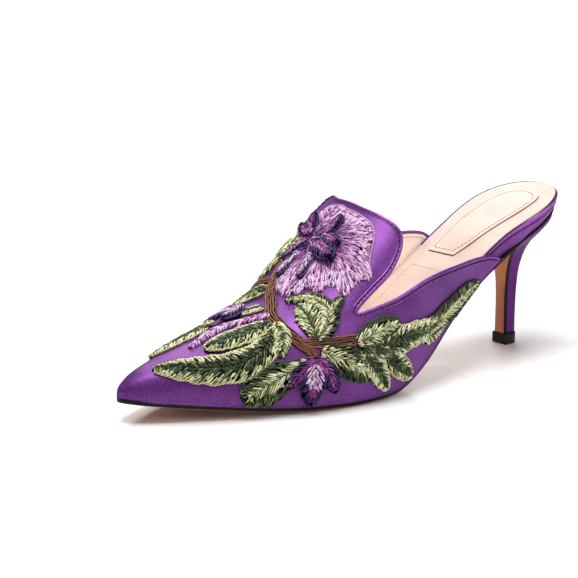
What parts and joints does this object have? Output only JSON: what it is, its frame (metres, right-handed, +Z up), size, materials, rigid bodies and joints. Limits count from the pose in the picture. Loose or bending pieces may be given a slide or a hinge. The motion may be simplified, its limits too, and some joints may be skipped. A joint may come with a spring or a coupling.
{
  "type": "heeled mule",
  "caption": "Pointed-toe satin mule for the left foot, with a raised tongued vamp notched at both sides, an open back and a slim mid-height heel.",
  "frame": {"origin": "on the floor, midway between the toe tip and the back of the seat and close to the middle of the shoe's width", "axes": "+Y runs from the toe to the heel, +X to the outer side (the wearer's left), +Z up; the shoe stands on the floor plane z = 0"},
  "size_m": [0.0766, 0.2479, 0.0814],
  "materials": {
    "upper_satin": "purple satin with raised floral embroidery, lined with beige leather",
    "footbed_leather": "smooth pale beige leather",
    "sole_leather": "black lacquered edge, tan leather underneath",
    "rand_satin": "purple satin wrapped over the seat edge",
    "heel_satin": "purple satin covering",
    "breast_leather": "tan leather facing with a black edge",
    "lift_rubber": "matte black hard rubber"
  },
  "bodies": {
    "root": {"upper": "upper_satin", "insole": "footbed_leather", "outsole": "sole_leather", "seat_rand": "rand_satin", "heel": "heel_satin", "heel_breast": "breast_leather", "top_lift": "lift_rubber"}
  },
  "joints": []
}
